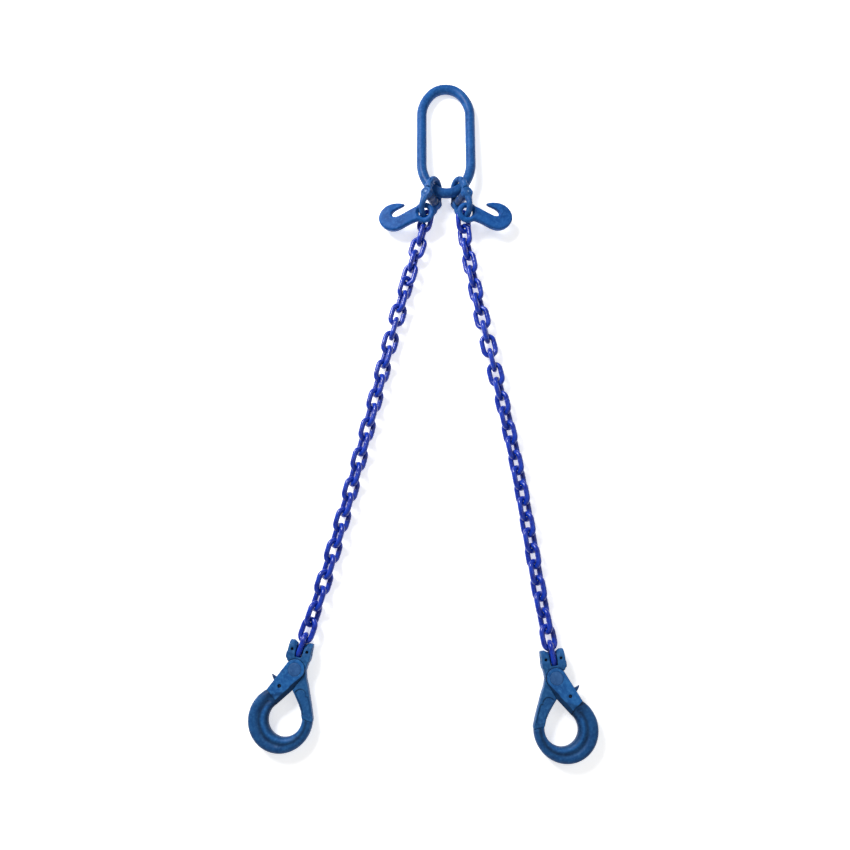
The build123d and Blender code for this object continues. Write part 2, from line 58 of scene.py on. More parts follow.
LINKS = {
    "left": [
        (3.427, 286.651, 17.078, 0.86804, -0.27927, 0.41050, 0.23567, 0.95949, 0.15441),
        (-2.432, 264.271, 14.544, -0.12418, -0.03054, 0.99179, 0.26721, 0.96157, 0.06307),
        (-9.173, 241.317, 13.914, 0.94641, -0.29144, 0.13917, 0.29569, 0.95523, -0.01044),
        (-15.974, 218.357, 13.839, 0.20450, -0.04089, -0.97801, 0.27224, 0.96208, 0.01670),
        (-22.434, 195.297, 13.537, 0.87939, -0.24747, 0.40672, 0.26723, 0.96360, 0.00852),
        (-28.503, 173.113, 13.390, 0.71823, -0.19084, -0.66912, 0.26050, 0.96546, 0.00426),
        (-34.701, 149.979, 13.390, 0.48413, -0.12502, 0.86602, 0.25713, 0.96637, -0.00423),
        (-40.633, 127.448, 13.488, 0.95814, -0.25019, -0.13917, 0.25207, 0.96770, -0.00423),
        (-46.610, 104.256, 13.438, 0.13281, -0.04244, 0.99023, 0.24699, 0.96898, 0.00840),
        (-52.391, 81.325, 13.140, 0.88806, -0.21437, -0.40668, 0.24189, 0.97016, 0.01681),
        (-58.164, 58.084, 12.789, 0.45307, -0.12352, 0.88288, 0.24021, 0.97064, 0.01253),
        (-63.856, 34.823, 12.489, 0.80744, -0.18813, -0.55915, 0.23512, 0.97188, 0.01253),
        (-69.487, 11.546, 12.239, 0.52772, -0.13487, 0.83864, 0.23513, 0.97193, 0.00835),
        (-75.139, -11.727, 12.089, 0.78658, -0.18922, -0.58778, 0.23684, 0.97154, 0.00418),
        (-80.791, -35.001, 12.039, 0.52937, -0.12807, 0.83867, 0.23514, 0.97196, -0.00000),
        (-86.463, -58.269, 12.039, 0.78566, -0.19298, -0.58779, 0.23853, 0.97113, 0.00000),
        (-92.196, -81.523, 12.039, 0.54282, -0.13433, 0.82904, 0.24023, 0.97072, -0.00000),
        (-97.970, -104.767, 12.039, 0.78499, -0.19572, -0.58779, 0.24192, 0.97030, 0.00000),
        (-103.825, -127.990, 12.039, 0.52776, -0.13453, 0.83867, 0.24700, 0.96902, -0.00000),
        (-109.761, -151.193, 12.039, 0.79342, -0.20371, -0.57358, 0.24869, 0.96858, 0.00000),
        (-115.778, -174.375, 12.039, 0.52681, -0.13821, 0.83867, 0.25376, 0.96727, -0.00000),
        (-121.896, -197.530, 12.039, 0.78181, -0.20802, -0.58779, 0.25713, 0.96638, 0.00000),
        (-128.094, -220.664, 12.039, 0.53989, -0.14567, 0.82904, 0.26050, 0.96547, -0.00000),
        (-134.394, -243.770, 12.039, 0.78974, -0.21753, -0.57358, 0.26556, 0.96410, 0.00000),
        (-140.814, -266.844, 12.039, 0.53833, -0.15132, 0.82904, 0.27060, 0.96269, -0.00000),
        (-147.376, -289.877, 12.039, 0.79652, -0.22990, -0.55919, 0.27731, 0.96078, 0.00000),
        (-154.157, -312.846, 12.140, 0.56466, -0.16338, 0.80899, 0.28902, 0.95729, -0.00840),
        (-161.170, -335.429, 12.487, 0.55479, -0.19490, -0.80884, 0.30397, 0.95245, -0.02101),
        (-168.628, -358.180, 13.045, 0.86915, -0.28153, 0.40660, 0.31886, 0.94746, -0.02556),
        (-176.000, -379.962, 13.486, 0.00412, 0.01210, 0.99992, 0.32224, 0.94657, -0.01278),
    ],
    "right": [
        (65.245, 285.553, 17.810, 0.86814, 0.16664, -0.46751, -0.08698, 0.97846, 0.18724),
        (67.398, 262.577, 15.009, 0.72832, 0.03500, 0.68434, -0.09779, 0.99378, 0.05325),
        (70.729, 239.208, 14.010, 0.48650, 0.11852, -0.86560, -0.18386, 0.98246, 0.03118),
        (75.026, 215.795, 13.539, 0.75489, 0.13034, 0.64276, -0.17708, 0.98416, 0.00840),
        (79.344, 192.381, 13.339, 0.47501, 0.09726, -0.87459, -0.18566, 0.98258, 0.00843),
        (83.816, 169.158, 13.189, 0.72979, 0.14030, 0.66912, -0.19252, 0.98128, 0.00421),
        (88.481, 145.810, 13.189, 0.51999, 0.10216, -0.84804, -0.19937, 0.97992, -0.00420),
        (93.289, 122.491, 13.339, 0.89354, 0.19016, 0.40672, -0.20449, 0.97883, -0.00840),
        (98.219, 99.198, 13.489, 0.20415, 0.03957, -0.97814, -0.20962, 0.97777, -0.00420),
        (103.271, 75.930, 13.539, 0.97429, 0.21421, 0.06976, -0.21474, 0.97667, 0.00000),
        (108.384, 52.676, 13.439, 0.13413, 0.03804, -0.99023, -0.21473, 0.97664, 0.00843),
        (113.482, 29.585, 13.090, 0.87949, 0.18552, 0.43827, -0.21639, 0.97608, 0.02107),
        (118.594, 6.336, 12.588, 0.45473, 0.11819, -0.88275, -0.21298, 0.97683, 0.02107),
        (123.591, -16.776, 12.190, 0.69327, 0.13948, 0.70705, -0.20960, 0.97771, 0.01264),
        (128.500, -40.073, 11.939, 0.65396, 0.14180, -0.74312, -0.20278, 0.97919, 0.00840),
        (133.247, -63.405, 11.789, 0.65677, 0.12805, 0.74314, -0.19594, 0.98061, 0.00420),
        (137.790, -86.777, 11.739, 0.68258, 0.12897, -0.71934, -0.18567, 0.98261, 0.00000),
        (142.108, -110.192, 11.689, 0.63320, 0.11066, 0.76604, -0.17708, 0.98419, 0.00420),
        (146.202, -133.647, 11.639, 0.73274, 0.12393, -0.66913, -0.16677, 0.98600, -0.00000),
        (150.070, -157.140, 11.639, 0.63470, 0.10166, 0.76604, -0.15816, 0.98741, 0.00000),
        (153.733, -180.666, 11.639, 0.72313, 0.10936, -0.68200, -0.14954, 0.98876, -0.00000),
        (157.253, -204.215, 11.639, 0.66195, 0.09775, 0.74314, -0.14608, 0.98927, 0.00000),
        (160.690, -227.775, 11.639, 0.72388, 0.10431, -0.68200, -0.14263, 0.98978, -0.00000),
        (164.106, -251.339, 11.639, 0.68738, 0.10028, 0.71934, -0.14436, 0.98953, 0.00000),
        (167.585, -274.893, 11.689, 0.69978, 0.10158, -0.70710, -0.14781, 0.98901, -0.00420),
        (171.186, -298.429, 11.789, 0.66059, 0.10661, 0.74314, -0.15471, 0.98795, -0.00420),
        (174.972, -321.935, 11.990, 0.72294, 0.11094, -0.68194, -0.16331, 0.98649, -0.01264),
        (178.916, -345.250, 12.388, 0.48960, 0.10309, 0.86583, -0.17017, 0.98519, -0.02107),
        (182.987, -368.701, 12.995, 0.90203, 0.14508, -0.40655, -0.17185, 0.98467, -0.02991),
        (186.842, -391.369, 13.486, -0.00209, 0.01265, 0.99992, -0.16331, 0.98649, -0.01282),
    ],
}

# ---------------------------------------------------------------- distance fields (mm)
def smin(a, b, k):
    h = np.maximum(k - np.abs(a - b), 0.0) / k
    return np.minimum(a, b) - h * h * k * 0.25


def smax(a, b, k):
    return -smin(-a, -b, k)


def poly2(X, Y, pts):
    """Signed distance to a polygon."""
    p = np.array(pts, float)
    d = np.full(np.broadcast(X, Y).shape, 1e9)
    inside = np.zeros(d.shape, bool)
    n = len(p)
    for i in range(n):
        ax, ay = p[i]
        bx, by = p[(i + 1) % n]
        ex, ey = bx - ax, by - ay
        wx, wy = X - ax, Y - ay
        t = np.clip((wx * ex + wy * ey) / (ex * ex + ey * ey + 1e-12), 0, 1)
        d = np.minimum(d, (wx - ex * t) ** 2 + (wy - ey * t) ** 2)
        if abs(by - ay) > 1e-9:
            inside ^= ((ay > Y) != (by > Y)) & (X < (bx - ax) * (Y - ay) / (by - ay) + ax)
    d = np.sqrt(d)
    return np.where(inside, -d, d)


def thick(d2, Z, hz, r):
    """A 2-D field given thickness, with rounded edges."""
    a = d2 + r
    b = np.abs(Z) - hz + r
    return np.minimum(np.maximum(a, b), 0) + np.sqrt(np.maximum(a, 0) ** 2 + np.maximum(b, 0) ** 2) - r


def arc_pts(c, r, a0, a1, n):
    return [(c[0] + r * math.cos(math.radians(a0 + (a1 - a0) * k / n)), c[1] + r * math.sin(math.radians(a0 + (a1 - a0) * k / n))) for k in range(n + 1)]


def arc3(p0, p1, p2, n):
    """Points along the arc through three points."""
    (ax, ay), (bx, by), (cx, cy) = p0, p1, p2
    d = 2 * (ax * (by - cy) + bx * (cy - ay) + cx * (ay - by))
    ux = ((ax * ax + ay * ay) * (by - cy) + (bx * bx + by * by) * (cy - ay) + (cx * cx + cy * cy) * (ay - by)) / d
    uy = ((ax * ax + ay * ay) * (cx - bx) + (bx * bx + by * by) * (ax - cx) + (cx * cx + cy * cy) * (bx - ax)) / d
    a0, am, a1 = (math.atan2(p[1] - uy, p[0] - ux) for p in (p0, p1, p2))
    if (am - a0) % (2 * math.pi) < (a1 - a0) % (2 * math.pi):
        a1 = a0 + (a1 - a0) % (2 * math.pi)
    else:
        a1 = a0 - (a0 - a1) % (2 * math.pi)
    r = math.hypot(ax - ux, ay - uy)
    return [(ux + r * math.cos(a0 + (a1 - a0) * k / n), uy + r * math.sin(a0 + (a1 - a0) * k / n)) for k in range(n + 1)]


def skin(fn, lo, hi, h, relax=2):
    """Quad mesh of the surface fn = 0 by surface nets, then settled onto the surface."""
    ax = [np.arange(lo[i], hi[i] + h, h) for i in range(3)]
    shape = tuple(len(a) for a in ax)
    V = np.broadcast_to(fn(ax[0][:, None, None], ax[1][None, :, None], ax[2][None, None, :]), shape).astype(np.float64)
    S = V < 0
    cn = (shape[0] - 1, shape[1] - 1, shape[2] - 1)
    total = cn[0] * cn[1] * cn[2]
    acc = np.zeros((3, total))
    cnt = np.zeros(total)
    quads = []
    for a in range(3):
        b, c = (a + 1) % 3, (a + 2) % 3
        s0 = [slice(None)] * 3
        s1 = [slice(None)] * 3
        s0[a], s1[a] = slice(0, -1), slice(1, None)
        V0, V1 = V[tuple(s0)], V[tuple(s1)]
        cross = (V0 < 0) != (V1 < 0)
        idx = np.array(np.nonzero(cross))
        t = V0[cross] / (V0[cross] - V1[cross])
        pos = idx.astype(float)
        pos[a] += t
        keep = (idx[b] > 0) & (idx[b] < shape[b] - 1) & (idx[c] > 0) & (idx[c] < shape[c] - 1)
        idx, pos = idx[:, keep], pos[:, keep]
        neg = V0[cross][keep] < 0
        cells = []
        for db, dc in ((-1, -1), (0, -1), (0, 0), (-1, 0)):
            q = idx.copy()
            q[b] += db
            q[c] += dc
            flat = (q[0] * cn[1] + q[1]) * cn[2] + q[2]
            cells.append(flat)
            for k in range(3):
                acc[k] += np.bincount(flat, weights=pos[k], minlength=total)
            cnt += np.bincount(flat, minlength=total)
        q = np.array(cells).T
        q[~neg] = q[~neg][:, ::-1]
        quads.append(q)
    quads = np.concatenate(quads)
    used = np.nonzero(cnt > 0)[0]
    remap = -np.ones(total, int)
    remap[used] = np.arange(len(used))
    P = (acc[:, used] / cnt[used]).T * h + np.array([a[0] for a in ax])
    Q = remap[quads]
    n = len(P)
    for it in range(relax + 1):
        if it < relax:
            s = np.zeros((n, 3))
            m = np.zeros(n)
            for u, v in ((0, 1), (1, 2), (2, 3), (3, 0)):
                for k in range(3):
                    s[:, k] += np.bincount(Q[:, u], weights=P[Q[:, v], k], minlength=n) + np.bincount(Q[:, v], weights=P[Q[:, u], k], minlength=n)
                m += np.bincount(Q[:, u], minlength=n) + np.bincount(Q[:, v], minlength=n)
            P = 0.5 * P + 0.5 * s / m[:, None]
        for _ in range(2):
            e = 0.05
            d = fn(P[:, 0], P[:, 1], P[:, 2])
            g = np.stack([
                (fn(P[:, 0] + e, P[:, 1], P[:, 2]) - fn(P[:, 0] - e, P[:, 1], P[:, 2])) / (2 * e),
                (fn(P[:, 0], P[:, 1] + e, P[:, 2]) - fn(P[:, 0], P[:, 1] - e, P[:, 2])) / (2 * e),
                (fn(P[:, 0], P[:, 1], P[:, 2] + e) - fn(P[:, 0], P[:, 1], P[:, 2] - e)) / (2 * e)], 1)
            gg = np.maximum((g * g).sum(1), 0.2)
            step = -(d / gg)[:, None] * g
            ln = np.linalg.norm(step, axis=1)
            P = P + step * np.minimum(1, 0.6 * h / np.maximum(ln, 1e-9))[:, None]
    return P, Q


def outward(me):
    """Turn every face of a closed mesh outward."""
    bm = bmesh.new()
    bm.from_mesh(me)
    if bm.calc_volume(signed=True) < 0:
        bmesh.ops.reverse_faces(bm, faces=bm.faces[:])
        bm.to_mesh(me)
    bm.free()
    me.update()


def make_mesh(name, P, Q):
    me = bpy.data.meshes.new(name)
    Q = np.asarray(Q)
    me.vertices.add(len(P))
    me.vertices.foreach_set("co", (np.asarray(P) * 0.001).astype(np.float32).ravel())
    k = Q.shape[1]
    me.loops.add(Q.size)
    me.loops.foreach_set("vertex_index", Q.astype(np.int32).ravel())
    me.polygons.add(len(Q))
    me.polygons.foreach_set("loop_start", np.arange(0, Q.size, k, dtype=np.int32))
    me.polygons.foreach_set("use_smooth", np.ones(len(Q), bool))
    me.update(calc_edges=True)
    me.validate()
    outward(me)
    return me


def tube(path, radius, around=24, closed=True, flat=None, start=None, end=None):
    """Swept bar along planar points (x, y, 0); radius is per point; flat scales the z half axis."""
    p = np.asarray(path, float)
    n = len(p)
    if closed:
        t = np.roll(p, -1, 0) - np.roll(p, 1, 0)
    else:
        t = np.gradient(p, axis=0)
    t /= np.linalg.norm(t, axis=1)[:, None]
    nz = np.array([0, 0, 1.0])
    side = np.cross(t, nz)
    a = np.linspace(0, 2 * math.pi, around, endpoint=False)
    rad = np.broadcast_to(radius, (n,))
    fl = np.broadcast_to(1.0 if flat is None else flat, (n,))
    P = p[:, None, :] + rad[:, None, None] * (np.cos(a)[None, :, None] * side[:, None, :] + (np.sin(a)[None, :, None] * fl[:, None, None]) * nz)
    P = P.reshape(-1, 3)
    Q = []
    m = n if closed else n - 1
    i = np.arange(m)[:, None] * around
    j = ((np.arange(m) + 1) % n)[:, None] * around
    k = np.arange(around)[None, :]
    k1 = (k + 1) % around
    Q = np.stack([i + k, i + k1, j + k1, j + k], -1).reshape(-1, 4)
    return P, Q


def lathe(profile, around=48, axis="x"):
    """Closed solid turned from (along, radius) points; ends on the axis or closes on itself."""
    pr = np.array(profile, float)
    a = np.linspace(0, 2 * math.pi, around, endpoint=False)
    n = len(pr)
    P = np.stack([np.repeat(pr[:, 0], around), (pr[:, 1][:, None] * np.cos(a)[None]).ravel(), (pr[:, 1][:, None] * np.sin(a)[None]).ravel()], 1)
    if axis == "z":
        P = P[:, [1, 2, 0]]
    k = np.arange(around)
    k1 = (k + 1) % around
    Q = []
    for i in range(n):
        j = (i + 1) % n
        Q.append(np.stack([i * around + k, j * around + k, j * around + k1, i * around + k1], 1))
    return P, np.concatenate(Q)


def turned(name, profile, around=48, axis="x", mark=None):
    """Solid bar turned from (along, radius) points, closed by flat faces; mark = radius of an end spot on slot 1."""
    pr = np.array(profile, float)
    a = np.linspace(0, 2 * math.pi, around, endpoint=False)
    n = len(pr)
    P = np.stack([np.repeat(pr[:, 0], around), (pr[:, 1][:, None] * np.cos(a)[None]).ravel(), (pr[:, 1][:, None] * np.sin(a)[None]).ravel()], 1)
    if axis == "z":
        P = P[:, [1, 2, 0]]
    F, S = [], []
    for i in range(n - 1):
        spot = mark is not None and max(pr[i, 1], pr[i + 1, 1]) <= mark + 1e-6
        for k in range(around):
            k1 = (k + 1) % around
            F.append((i * around + k, (i + 1) * around + k, (i + 1) * around + k1, i * around + k1))
            S.append(1 if spot else 0)
    F.append(tuple(range(around)))
    F.append(tuple((n - 1) * around + k for k in range(around - 1, -1, -1)))
    S += [1 if mark is not None else 0] * 2
    me = bpy.data.meshes.new(name)
    me.from_pydata((P * 0.001).tolist(), [], F)
    me.polygons.foreach_set("material_index", S)
    me.polygons.foreach_set("use_smooth", [len(f) == 4 for f in F])
    me.update()
    outward(me)
    return me


def place(name, me, fr, body, nodes, material):
    o = bpy.data.objects.new(name, me)
    bpy.context.scene.collection.objects.link(o)
    ox, oy, oz, xx, xy, xz, yx, yy, yz = fr
    x = Vector((xx, xy, xz)).normalized()
    y = Vector((yx, yy, yz))
    y = (y - y.dot(x) * x).normalized()
    z = x.cross(y)
    m = Matrix(((x.x, y.x, z.x, ox * 0.001), (x.y, y.y, z.y, oy * 0.001), (x.z, y.z, z.z, oz * 0.001), (0, 0, 0, 1)))
    o.matrix_world = m
    if not me.materials:
        me.materials.append(material)
    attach(o, body)
    if nodes:
        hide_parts(*nodes)
    return o


# ---------------------------------------------------------------- materials
def coat(name, base, dark, light, rough=0.34, scale=1.0, peel=0.25, wear=0.25, wear_col=(0.12, 0.14, 0.17), spec=0.5, coat_w=0.25, hollow_shade=0.35, painted_light=False):
    """Painted forging: uneven pigment, orange peel, painted shade in the hollows, thin paint on edges."""
    m = bpy.data.materials.new(name)
    m.use_nodes = True
    nt = m.node_tree
    N, L = nt.nodes, nt.links
    N.clear()
    out = N.new("ShaderNodeOutputMaterial")
    bs = N.new("ShaderNodeBsdfPrincipled")
    L.new(bs.outputs[0], out.inputs[0])
    tc = N.new("ShaderNodeTexCoord")

    def noise(sc, det, ro=0.55, dist=0.0):
        t = N.new("ShaderNodeTexNoise")
        t.inputs["Scale"].default_value = sc * scale
        t.inputs["Detail"].default_value = det
        t.inputs["Roughness"].default_value = ro
        t.inputs["Distortion"].default_value = dist
        L.new(tc.outputs["Object"], t.inputs["Vector"])
        return t

    def ramp(src, p0, p1, c0=(0, 0, 0, 1), c1=(1, 1, 1, 1)):
        r = N.new("ShaderNodeValToRGB")
        r.color_ramp.elements[0].position = p0
        r.color_ramp.elements[1].position = p1
        r.color_ramp.elements[0].color = c0
        r.color_ramp.elements[1].color = c1
        L.new(src, r.inputs[0])
        return r

    def mix(fac, a, b, blend="MIX"):
        x = N.new("ShaderNodeMix")
        x.data_type = "RGBA"
        x.blend_type = blend
        if isinstance(fac, float):
            x.inputs[0].default_value = fac
        else:
            L.new(fac, x.inputs[0])
        for s, v in ((6, a), (7, b)):
            if isinstance(v, tuple):
                x.inputs[s].default_value = (*v, 1) if len(v) == 3 else v
            else:
                L.new(v, x.inputs[s])
        return x

    big = noise(55, 3, 0.5, 0.3)
    mid = noise(240, 5, 0.6)
    c1 = ramp(big.outputs[0], 0.36, 0.66, (*dark, 1), (*base, 1))
    m1 = ramp(mid.outputs[0], 0.45, 0.8)
    c2 = mix(m1.outputs[0], c1.outputs[0], (*light, 1))
    geo = N.new("ShaderNodeNewGeometry")
    hollow = ramp(geo.outputs["Pointiness"], 0.40, 0.495, (1, 1, 1, 1), (0, 0, 0, 1))
    gm = N.new("ShaderNodeMath"); gm.operation = "MULTIPLY"; gm.inputs[1].default_value = hollow_shade
    L.new(hollow.outputs[0], gm.inputs[0])
    # painted shade: hollows darkened toward a deep tone of the paint
    c3 = mix(gm.outputs[0], c2.outputs[2], tuple(0.35 * c for c in dark))
    edge = ramp(geo.outputs["Pointiness"], 0.535, 0.60)
    chip = noise(420, 6, 0.7)
    chr_ = ramp(chip.outputs[0], 0.52, 0.62)
    em = N.new("ShaderNodeMath"); em.operation = "MULTIPLY"
    L.new(edge.outputs[0], em.inputs[0]); L.new(chr_.outputs[0], em.inputs[1])
    ew = N.new("ShaderNodeMath"); ew.operation = "MULTIPLY"; ew.inputs[1].default_value = wear
    L.new(em.outputs[0], ew.inputs[0])
    c4 = mix(ew.outputs[0], c3.outputs[2], wear_col)
    if painted_light:
        # painted light and shade carried by the mesh
        at = N.new("ShaderNodeAttribute")
        at.attribute_name = "paint_light_and_shade"
        c4 = mix(1.0, c4.outputs[2], at.outputs["Color"], "MULTIPLY")
    L.new(c4.outputs[2], bs.inputs["Base Color"])
    rr = noise(130, 4)
    rm = N.new("ShaderNodeMapRange")
    rm.inputs["To Min"].default_value = rough - 0.09
    rm.inputs["To Max"].default_value = rough + 0.12
    L.new(rr.outputs[0], rm.inputs["Value"])
    L.new(rm.outputs[0], bs.inputs["Roughness"])
    bs.inputs["Specular IOR Level"].default_value = spec
    bs.inputs["Coat Weight"].default_value = coat_w
    bs.inputs["Coat Roughness"].default_value = 0.18
    fine = noise(900, 3)
    lump = noise(120, 3)
    b1 = N.new("ShaderNodeBump"); b1.inputs["Strength"].default_value = peel; b1.inputs["Distance"].default_value = 0.0004
    L.new(fine.outputs[0], b1.inputs["Height"])
    b2 = N.new("ShaderNodeBump"); b2.inputs["Strength"].default_value = peel * 1.3; b2.inputs["Distance"].default_value = 0.0012
    L.new(lump.outputs[0], b2.inputs["Height"])
    L.new(b1.outputs[0], b2.inputs["Normal"])
    L.new(b2.outputs[0], bs.inputs["Normal"])
    return m


def steel(name, col, rough=0.38, metallic=1.0, brushed=300.0, tint=(0.5, 0.45, 0.3)):
    m = bpy.data.materials.new(name)
    m.use_nodes = True
    nt = m.node_tree
    N, L = nt.nodes, nt.links
    bs = N["Principled BSDF"]
    tc = N.new("ShaderNodeTexCoord")
    a = N.new("ShaderNodeTexNoise"); a.inputs["Scale"].default_value = 180; a.inputs["Detail"].default_value = 5
    b = N.new("ShaderNodeTexNoise"); b.inputs["Scale"].default_value = brushed; b.inputs["Detail"].default_value = 3
    mp = N.new("ShaderNodeMapping"); mp.inputs["Scale"].default_value = (0.15, 1, 1)
    L.new(tc.outputs["Object"], a.inputs["Vector"]); L.new(tc.outputs["Object"], mp.inputs[0]); L.new(mp.outputs[0], b.inputs["Vector"])
    r = N.new("ShaderNodeValToRGB")
    r.color_ramp.elements[0].color = (*[c * 0.55 for c in col], 1); r.color_ramp.elements[1].color = (*[min(1, c * 1.15) for c in col], 1)
    r.color_ramp.elements[0].position = 0.3; r.color_ramp.elements[1].position = 0.7
    L.new(a.outputs[0], r.inputs[0]); L.new(r.outputs[0], bs.inputs["Base Color"])
    bs.inputs["Metallic"].default_value = metallic
    rm = N.new("ShaderNodeMapRange"); rm.inputs["To Min"].default_value = rough - 0.1; rm.inputs["To Max"].default_value = rough + 0.15
    L.new(b.outputs[0], rm.inputs["Value"]); L.new(rm.outputs[0], bs.inputs["Roughness"])
    bp = N.new("ShaderNodeBump"); bp.inputs["Strength"].default_value = 0.2; bp.inputs["Distance"].default_value = 0.0003
    L.new(b.outputs[0], bp.inputs["Height"]); L.new(bp.outputs[0], bs.inputs["Normal"])
    return m


M_LINK = coat("master_paint", (0.010, 0.082, 0.285), (0.005, 0.052, 0.205), (0.026, 0.130, 0.365), rough=0.42, spec=0.14, coat_w=0.03, hollow_shade=0.2, wear=0.06)
M_GRAB = coat("grab_paint", (0.010, 0.090, 0.335), (0.005, 0.058, 0.240), (0.026, 0.135, 0.410), rough=0.44, spec=0.12, coat_w=0.02, hollow_shade=0.2, wear=0.06)
M_COUP = coat("coupling_paint", (0.013, 0.098, 0.325), (0.007, 0.062, 0.235), (0.032, 0.145, 0.400), rough=0.42, spec=0.2, coat_w=0.04, hollow_shade=0.0, wear=0.04)
M_CHAIN = coat("chain_coat", (0.003, 0.032, 0.400), (0.002, 0.015, 0.250), (0.008, 0.066, 0.560), rough=0.27, spec=0.32, coat_w=0.35, peel=0.18, wear=0.03, hollow_shade=0.5)
# the hook paints multiply in painted light and shade stored per vertex
M_HOOK = coat("hook_paint", (0.010, 0.082, 0.255), (0.006, 0.054, 0.185), (0.026, 0.130, 0.330), rough=0.46, peel=0.4, spec=0.18, coat_w=0.0, hollow_shade=0.3, wear=0.08, painted_light=True)
M_PLATE = coat("clevis_paint", (0.013, 0.088, 0.255), (0.007, 0.058, 0.185), (0.032, 0.138, 0.330), rough=0.46, peel=0.4, spec=0.18, coat_w=0.0, hollow_shade=0.3, wear=0.08, painted_light=True)
M_RIVET = coat("rivet_paint", (0.030, 0.110, 0.300), (0.020, 0.078, 0.225), (0.055, 0.150, 0.365), rough=0.46, spec=0.18, coat_w=0.0, hollow_shade=0.2)
M_TRIG = coat("trigger_paint", (0.010, 0.060, 0.185), (0.006, 0.038, 0.130), (0.026, 0.095, 0.250), rough=0.5, spec=0.18, coat_w=0.0)
M_DARK = steel("pin_steel", (0.010, 0.018, 0.045), 0.5, metallic=0.4)
# pale spot on the pin end faces: a painted highlight
M_PIN_HIGHLIGHT = coat("pin_end_highlight", (0.110, 0.230, 0.460), (0.050, 0.130, 0.320), (0.300, 0.420, 0.600), rough=0.4, scale=2.0, spec=0.3)
M_SLEEVE = coat("sleeve_plating", (0.012, 0.062, 0.230), (0.008, 0.042, 0.160), (0.100, 0.130, 0.140), rough=0.42, scale=2.2, hollow_shade=0.0, spec=0.3)
M_SPRING = steel("spring_wire", (0.45, 0.45, 0.47), 0.3)


def paint_light_and_shade(me, fn):
    """Store a painted light-and-shade factor per vertex, worked out from the local position in millimetres."""
    co = np.zeros(len(me.vertices) * 3, np.float32)
    me.vertices.foreach_get("co", co)
    c = co.reshape(-1, 3).astype(float) * 1000.0
    at = me.attributes.new("paint_light_and_shade", "FLOAT", "POINT")
    at.data.foreach_set("value", fn(c[:, 0], c[:, 1], c[:, 2]).astype(np.float32))


# ---------------------------------------------------------------- chain
CHAIN_R, CHAIN_HW, CHAIN_S = 4.0, 9.4, 6.675


def link_mesh(name, seed):
    rng = np.random.default_rng(seed)
    pts = []
    for y in np.linspace(-CHAIN_S, CHAIN_S, 15)[:-1]:
        pts.append((CHAIN_HW, y, 0))
    for a in np.linspace(0, math.pi, 25)[:-1]:
        pts.append((CHAIN_HW * math.cos(a), CHAIN_S + CHAIN_HW * math.sin(a), 0))
    for y in np.linspace(CHAIN_S, -CHAIN_S, 15)[:-1]:
        pts.append((-CHAIN_HW, y, 0))
    for a in np.linspace(math.pi, 2 * math.pi, 25)[:-1]:
        pts.append((CHAIN_HW * math.cos(a), -CHAIN_S + CHAIN_HW * math.sin(a), 0))
    p = np.array(pts)
    r = np.full(len(p), CHAIN_R)
    # butt weld: a low swelling with a fine ring each side, on one leg of the link
    w = (p[:, 0] > 0) & (np.abs(p[:, 1]) < CHAIN_S)
    y = p[:, 1] + rng.uniform(-0.6, 0.6)
    r = r + np.where(w, 0.26 * np.exp(-(y / 1.5) ** 2) - 0.10 * np.exp(-((np.abs(y) - 2.9) / 0.6) ** 2), 0)
    r = r - 0.03 + 0.03 * np.sin(np.arange(len(p)) * 0.7 + seed)
    P, Q = tube(p, r, around=28)
    return make_mesh(name, P, Q)


link_meshes = [link_mesh("chain_link_mesh_%d" % k, 11 + k) for k in range(4)]
for side in ("left", "right"):
    for i, fr in enumerate(LINKS[side]):
        a = i - i % 2 + 1
        node = "%s_chain_links_%02d_%02d" % (side, a, a + 1)
        o = place("%s_link_%02d" % (side, i + 1), link_meshes[int(RNG.integers(4))], fr, "%s_links_%02d_%02d" % (side, a, a + 1), [node], M_CHAIN)

# ---------------------------------------------------------------- master link
def master_mesh():
    a, c, L = 40.5, 33.0, 201.7

    def end(rise):
        k = rise - c
        R = (a * a + k * k - c * c) / (2 * (a - c))
        u = np.array([-(a - R), k])
        u /= np.linalg.norm(u)
        return k, R, math.atan2(u[1], u[0])

    pts = []
    k1, R1, t1 = end(53.0)
    hi = L - 53.0
    k0, R0, t0 = end(55.5)
    lo = 55.5
    for y in np.linspace(lo, hi, 40)[:-1]:
        pts.append((a, y, 0))
    for t in np.linspace(0, t1, 26)[:-1]:
        pts.append((a - R1 + R1 * math.cos(t), hi + R1 * math.sin(t), 0))
    for t in np.linspace(t1, math.pi - t1, 44)[:-1]:
        pts.append((c * math.cos(t), hi + k1 + c * math.sin(t), 0))
    for t in np.linspace(t1, 0, 26)[:-1]:
        pts.append((-(a - R1 + R1 * math.cos(t)), hi + R1 * math.sin(t), 0))
    for y in np.linspace(hi, lo, 40)[:-1]:
        pts.append((-a, y, 0))
    for t in np.linspace(0, t0, 26)[:-1]:
        pts.append((-(a - R0 + R0 * math.cos(t)), lo - R0 * math.sin(t), 0))
    for t in np.linspace(t0, math.pi - t0, 44)[:-1]:
        pts.append((-c * math.cos(t), lo - k0 - c * math.sin(t), 0))
    for t in np.linspace(t0, 0, 26)[:-1]:
        pts.append((a - R0 + R0 * math.cos(t), lo - R0 * math.sin(t), 0))
    p = np.array(pts)
    r = np.full(len(p), 8.2)
    w = (p[:, 0] > 39) & (p[:, 1] > 60) & (p[:, 1] < 145)
    y = p[:, 1] - 101
    r = r + np.where(w, 0.22 * np.exp(-(y / 4.0) ** 2) - 0.10 * np.exp(-((np.abs(y) - 7) / 1.5) ** 2), 0)
    P, Q = tube(p, r, around=48)
    return make_mesh("master_link_mesh", P, Q)


place("master_link_ring", master_mesh(), FRAMES["master_link"], "master", ["master_link"], M_LINK)

